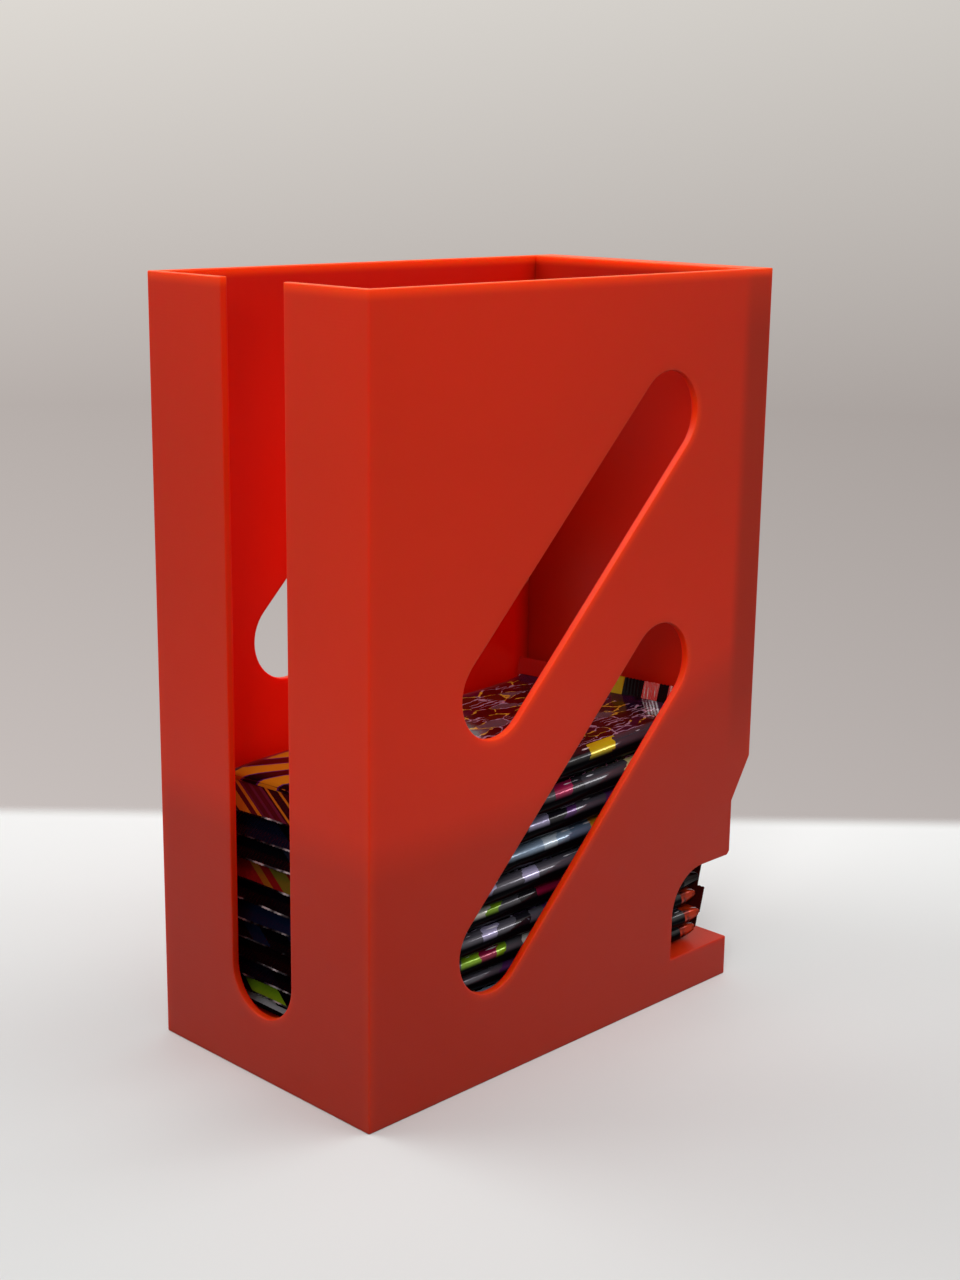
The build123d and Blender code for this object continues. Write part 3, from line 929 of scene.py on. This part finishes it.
def sealed_film_tree():
    """Two films pressed together between ribbed jaws: a thin strip with a toothed free edge."""
    tree = bpy.data.node_groups.new("sealed_film", "GeometryNodeTree")
    for name in SEAL_SIZES:
        tree.interface.new_socket(name=name, in_out="INPUT", socket_type="NodeSocketFloat")
    tree.interface.new_socket(name="Material", in_out="INPUT", socket_type="NodeSocketMaterial")
    tree.interface.new_socket(name="Geometry", in_out="OUTPUT", socket_type="NodeSocketGeometry")
    size = add(tree, "NodeGroupInput").outputs

    ribs = add(tree, "ShaderNodeMath", {
        0: size["Length"], 1: size["Rib Pitch"]}, operation="DIVIDE")
    points = add(tree, "ShaderNodeMath", {
        0: ribs, 1: POINTS_PER_RIB, 2: 1.0}, operation="MULTIPLY_ADD")
    grid = add(tree, "GeometryNodeMeshGrid", {
        "Size X": size["Depth"], "Size Y": size["Length"],
        "Vertices X": SEAL_ROWS, "Vertices Y": points})
    place = add(tree, "GeometryNodeInputPosition")
    axes = add(tree, "ShaderNodeSeparateXYZ", {0: place}).outputs
    depth = add(tree, "ShaderNodeMath", {0: axes["X"], 1: size["Depth"]}, operation="DIVIDE")
    share = add(tree, "ShaderNodeMath", {0: depth, 1: 0.5}, operation="ADD")

    count = add(tree, "ShaderNodeMath", {0: axes["Y"], 1: size["Rib Pitch"]}, operation="DIVIDE")
    phase = add(tree, "ShaderNodeMath", {0: count, 1: FULL_TURN}, operation="MULTIPLY")
    rib = add(tree, "ShaderNodeMath", {0: phase}, operation="SINE")
    rib = add(tree, "ShaderNodeMath", {0: rib, 1: size["Rib Height"]}, operation="MULTIPLY")
    grip = add(tree, "ShaderNodeMapRange", {
        "Value": share, "From Min": RIB_START[0], "From Max": RIB_START[1]})
    rib = add(tree, "ShaderNodeMath", {0: rib, 1: grip}, operation="MULTIPLY")

    tooth = add(tree, "ShaderNodeMath", {0: count, 1: 0.5}, operation="PINGPONG")
    tooth = add(tree, "ShaderNodeMath", {0: tooth, 1: size["Tooth Depth"]}, operation="MULTIPLY")
    edge = add(tree, "ShaderNodeMapRange", {"Value": share, "From Min": TOOTH_START})
    tooth = add(tree, "ShaderNodeMath", {0: tooth, 1: edge}, operation="MULTIPLY")
    tooth = add(tree, "ShaderNodeMath", {0: tooth, 1: -2.0}, operation="MULTIPLY")

    noise = add(tree, "ShaderNodeTexNoise", {
        "Vector": place, "W": size["Seed"], "Scale": 1 / SWAY_LENGTH, "Detail": 1.0,
    }, noise_dimensions="4D")
    sway = add(tree, "ShaderNodeMath", {0: noise, 1: 0.5}, operation="SUBTRACT")
    sway = add(tree, "ShaderNodeMath", {0: sway, 1: size["Wave"]}, operation="MULTIPLY")
    bend = add(tree, "ShaderNodeMath", {
        0: share, 1: size["Curl"], 2: sway}, operation="MULTIPLY_ADD")
    bend = add(tree, "ShaderNodeMath", {0: bend, 1: share}, operation="MULTIPLY")
    rise = add(tree, "ShaderNodeMath", {0: rib, 1: bend}, operation="ADD")
    sink = add(tree, "ShaderNodeMath", {
        0: size["Thickness"], 1: -0.5, 2: rise}, operation="MULTIPLY_ADD")
    root = add(tree, "ShaderNodeMath", {
        0: size["Depth"], 1: 0.5, 2: tooth}, operation="MULTIPLY_ADD")
    offset = add(tree, "ShaderNodeCombineXYZ", {0: root, 2: sink})
    sheet = add(tree, "GeometryNodeSetPosition", {"Geometry": grid, "Offset": offset})

    thick = add(tree, "GeometryNodeExtrudeMesh", {
        "Mesh": sheet, "Offset Scale": size["Thickness"], "Individual": False})
    under = add(tree, "GeometryNodeFlipFaces", {"Mesh": sheet})
    both = add(tree, "GeometryNodeJoinGeometry", {"Geometry": thick})
    tree.links.new(under.outputs[0], both.inputs["Geometry"])
    closed = add(tree, "GeometryNodeMergeByDistance", {"Geometry": both, "Distance": WELD})
    real = add(tree, "GeometryNodeRealizeInstances", {"Geometry": closed})
    inked = add(tree, "GeometryNodeSetMaterial", {"Geometry": real, "Material": size["Material"]})
    add(tree, "NodeGroupOutput", {"Geometry": inked})
    return tree


def seal_mesh(tree, material, **sizes):
    """One pressed seal: its root on the Y axis, its free edge towards +X."""
    made = bpy.data.objects.new("seal", bpy.data.meshes.new("seal"))
    bpy.context.scene.collection.objects.link(made)
    modifier = made.modifiers.new("sealed_film", "NODES")
    modifier.node_group = tree
    values = {name.replace("_", " "): value for name, value in sizes.items()}
    values["Material"] = material
    for socket in tree.interface.items_tree:
        if socket.name in values:
            modifier[socket.identifier] = values[socket.name]
    return plain_mesh(made)


def pack_seals(name, tree, material, place, rise, droop, seed):
    """A pack's two crimps: the front one stands up, the back one hangs and curls down."""
    random = np.random.default_rng(seed)
    crimp = {
        "Length": 2 * PACK_HALF_WIDTH, "Thickness": CRIMP_FILM,
        "Rib_Pitch": RIB_PITCH, "Tooth_Depth": TOOTH_DEPTH,
    }
    nose = POUCH_LENGTH / 2
    loose = max((droop - STIFF_DROOP) / (FULL_DROOP - STIFF_DROOP), 0)
    front = (
        seal_mesh(tree, material, **crimp, Depth=CRIMP_LENGTH + ROOT - rise, Rib_Height=FRONT_RIB,
                  Curl=random.uniform(*FRONT_CURL), Wave=FRONT_WAVE, Seed=float(seed)),
        Matrix.Translation((nose, 0, rise)) @ Matrix.Rotation(-FRONT_CRIMP_TURN, 4, "Y"),
        1,
    )
    about = Matrix.Rotation(math.pi, 4, "Z") @ Matrix.Rotation(droop, 4, "Y")
    back = (
        seal_mesh(tree, material, **crimp, Depth=CRIMP_LENGTH + ROOT, Rib_Height=BACK_RIB,
                  Curl=-loose * random.uniform(*BACK_CURL), Wave=BACK_WAVE + LOOSE_WAVE * loose,
                  Seed=seed + 0.5),
        Matrix.Translation((-nose, 0, 0)) @ about,
        -1,
    )
    shape = bmesh.new()
    film = shape.loops.layers.uv.new("film")
    for strip, turn, end in (front, back):
        first = len(shape.faces)
        shape.from_mesh(strip)
        shape.faces.ensure_lookup_table()
        fresh = shape.faces[first:]
        for face in fresh:
            for loop in face.loops:
                spot = loop.vert.co
                loop[film].uv = (end * (nose + spot.x), spot.y)
        moved = {v for face in fresh for v in face.verts}
        seat = turn @ Matrix.Translation((-ROOT, 0, 0))
        bmesh.ops.transform(shape, matrix=seat, verts=list(moved))
        bpy.data.meshes.remove(strip)
    shape.transform(place)
    mesh = bpy.data.meshes.new(name)
    shape.to_mesh(mesh)
    shape.free()
    mesh.shade_smooth()
    mesh.set_sharp_from_angle(angle=SEAL_SHARP_ANGLE)
    return mesh


POUCH_SEED = 100
SEAL_SEED = 200


def make_packs():
    """Every pack in its place: a pouch, its two crimps and its cards."""
    tree = sealed_film_tree()
    board = card_stock()
    for number in range(1, len(STACK) + 1):
        name = f"pack_{number:02d}"
        on_top = number == len(STACK)
        slack, rise = (TOP_SLACK, TOP_NOSE_RISE) if on_top else (SLACK, NOSE_RISE)
        place, height, droop = pack_place(number)
        material = printed_film(number, height)
        mesh = pouch_mesh(f"{name}_pouch", height, rise, slack, POUCH_SEED + number)
        mesh.transform(place)
        pouch = piece(f"{name}_pouch", mesh, material, name)
        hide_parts(f"{name}_wrapper")
        seals = pack_seals(
            f"{name}_seals", tree, material, place, rise, droop, SEAL_SEED + number)
        piece(f"{name}_seals", seals, material, name)
        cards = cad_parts[f"{name}_cards"]
        cards.data.materials.clear()
        cards.data.materials.append(board)


def floor_paper():
    """Matt white paper whose edge fades away, and which throws little light back on the object."""
    material, tree, output = new_material("floor_paper")
    place = add(tree, "ShaderNodeTexCoord").outputs["Object"]
    turned = add(tree, "ShaderNodeMapping", {
        "Vector": place, "Rotation": (0.0, 0.0, -CAMERA_YAW)})
    size = add(tree, "ShaderNodeVectorMath", {0: turned}, operation="ABSOLUTE")
    past = add(tree, "ShaderNodeVectorMath", {
        0: size, 1: (FLOOR_DEPTH, FLOOR_SIDE, 1.0)}, operation="SUBTRACT")
    axes = add(tree, "ShaderNodeSeparateXYZ", {0: past}).outputs
    edge = add(tree, "ShaderNodeMath", {0: axes["X"], 1: axes["Y"]}, operation="MAXIMUM")
    fade = add(tree, "ShaderNodeMapRange", {
        "Value": edge, "From Max": FLOOR_FADE}, interpolation_type="SMOOTHSTEP")
    rays = add(tree, "ShaderNodeLightPath").outputs
    looked = add(tree, "ShaderNodeMath", {
        0: rays["Is Camera Ray"], 1: rays["Is Glossy Ray"]}, operation="MAXIMUM")
    depth = add(tree, "ShaderNodeSeparateXYZ", {0: turned}).outputs["X"]
    share = add(tree, "ShaderNodeMapRange", {
        "Value": depth, "From Min": -FLOOR_DEPTH / 2, "From Max": FLOOR_DEPTH})
    seen = add(tree, "ShaderNodeValToRGB", {0: share}, stops=[(0.0, FLOOR_NEAR), (1.0, FLOOR_FAR)])
    tone = add(tree, "ShaderNodeMix", {
        FACTOR: looked, UNDER: linear(FLOOR_BOUNCE), OVER: seen}, data_type="RGBA")
    paper = add(tree, "ShaderNodeBsdfPrincipled", {"Base Color": tone, "Roughness": 0.7})
    gone = add(tree, "ShaderNodeBsdfTransparent")
    mixed = add(tree, "ShaderNodeMixShader", {0: fade, 1: paper, 2: gone})
    tree.links.new(mixed.outputs[0], output.inputs["Surface"])
    return material


def make_floor():
    """The sheet of paper that the object stands on."""
    mesh = bpy.data.meshes.new("floor")
    shape = bmesh.new()
    bmesh.ops.create_grid(shape, x_segments=1, y_segments=1, size=FLOOR_SIZE / 2)
    shape.to_mesh(mesh)
    shape.free()
    floor = bpy.data.objects.new("floor", mesh)
    mesh.materials.append(floor_paper())
    bpy.context.scene.collection.objects.link(floor)


def make_world():
    """Plain soft light from all round; the eye and reflections see a grey backdrop."""
    world = bpy.data.worlds.new("studio")
    bpy.context.scene.world = world
    world.use_nodes = True
    tree = world.node_tree
    tree.nodes.clear()
    output = add(tree, "ShaderNodeOutputWorld")
    direction = add(tree, "ShaderNodeTexCoord").outputs["Generated"]
    height = add(tree, "ShaderNodeSeparateXYZ", {0: direction}).outputs["Z"]
    share = add(tree, "ShaderNodeMapRange", {
        "Value": height, "From Min": BACKDROP_HEIGHTS[0], "From Max": BACKDROP_HEIGHTS[1]})
    backdrop = add(tree, "ShaderNodeValToRGB", {0: share}, stops=BACKDROP_TONES)
    right = (math.sin(CAMERA_YAW), -math.cos(CAMERA_YAW), 0.0)
    aside = add(tree, "ShaderNodeVectorMath", {0: direction, 1: right}, operation="DOT_PRODUCT")
    shade = add(tree, "ShaderNodeMapRange", {
        "Value": aside, "From Min": -BACKDROP_REACH, "From Max": BACKDROP_REACH,
        "To Min": BACKDROP_SHADES[0], "To Max": BACKDROP_SHADES[1]})
    seen = add(tree, "ShaderNodeBackground", {"Color": backdrop, "Strength": shade})
    above = add(tree, "ShaderNodeMapRange", {
        "Value": height, "From Min": SKY_HEIGHTS[0], "From Max": SKY_HEIGHTS[1],
        "To Min": SKY_STRENGTHS[0], "To Max": SKY_STRENGTHS[1]})
    light = add(tree, "ShaderNodeBackground", {"Color": linear(SKY), "Strength": above})
    rays = add(tree, "ShaderNodeLightPath").outputs
    either = add(tree, "ShaderNodeMath", {
        0: rays["Is Camera Ray"], 1: rays["Is Glossy Ray"]}, operation="MAXIMUM")
    looked = add(tree, "ShaderNodeMath", {
        0: either, 1: rays["Is Transmission Ray"]}, operation="MAXIMUM")
    mixed = add(tree, "ShaderNodeMixShader", {0: looked, 1: light, 2: seen})
    tree.links.new(mixed.outputs[0], output.inputs["Surface"])


def make_light(name, kind, place, aim, power, **settings):
    """A lamp at a place, turned to its aim."""
    lamp = bpy.data.lights.new(name, kind)
    lamp.energy = power
    for setting, value in settings.items():
        setattr(lamp, setting, value)
    light = bpy.data.objects.new(name, lamp)
    light.location = place
    light.rotation_euler = (Vector(aim) - Vector(place)).to_track_quat("-Z", "Y").to_euler()
    bpy.context.scene.collection.objects.link(light)


def make_camera():
    """The photograph's camera."""
    forward = Vector((
        math.cos(CAMERA_PITCH) * math.cos(CAMERA_YAW),
        math.cos(CAMERA_PITCH) * math.sin(CAMERA_YAW),
        -math.sin(CAMERA_PITCH),
    ))
    level = forward.cross(Vector((0, 0, 1))).normalized()
    upright = level.cross(forward)
    right = level * math.cos(CAMERA_ROLL) + upright * math.sin(CAMERA_ROLL)
    up = right.cross(forward)
    data = bpy.data.cameras.new("camera")
    data.lens = CAMERA_LENS
    data.sensor_width = SENSOR
    data.clip_start = CAMERA_CLIP
    camera = bpy.data.objects.new("camera", data)
    turn = Matrix((right, up, -forward)).transposed().to_4x4()
    camera.matrix_world = Matrix.Translation(CAMERA_PLACE) @ turn
    bpy.context.scene.collection.objects.link(camera)
    bpy.context.scene.camera = camera


shell = piece(
    "dispenser_print", dispenser_shell(), printed_plastic(), "dispenser")
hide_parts("dispenser_body")
make_packs()

make_floor()
make_world()
make_light("back_softbox", "AREA", place=(-0.2, 0.25, 0.5), aim=(0, 0, 0), power=1.08,
           shape="DISK", size=0.35)
make_light("overhead_softbox", "AREA", place=(0.1, -0.15, 0.55), aim=(0, 0, 0), power=0.91,
           shape="DISK", size=0.35)
make_light("front_lamp", "SPOT", place=(-0.4, -0.3, 0.3), aim=(-0.02, -0.03, 0.108), power=4.2,
           shadow_soft_size=0.08, spot_size=math.radians(28), spot_blend=0.6)
make_light("window", "AREA", place=(0.42, -0.29, 0.4), aim=(0, -0.034, 0.06), power=0.16,
           shape="SQUARE", size=0.08)
make_camera()
bpy.context.scene.view_settings.view_transform = "Standard"
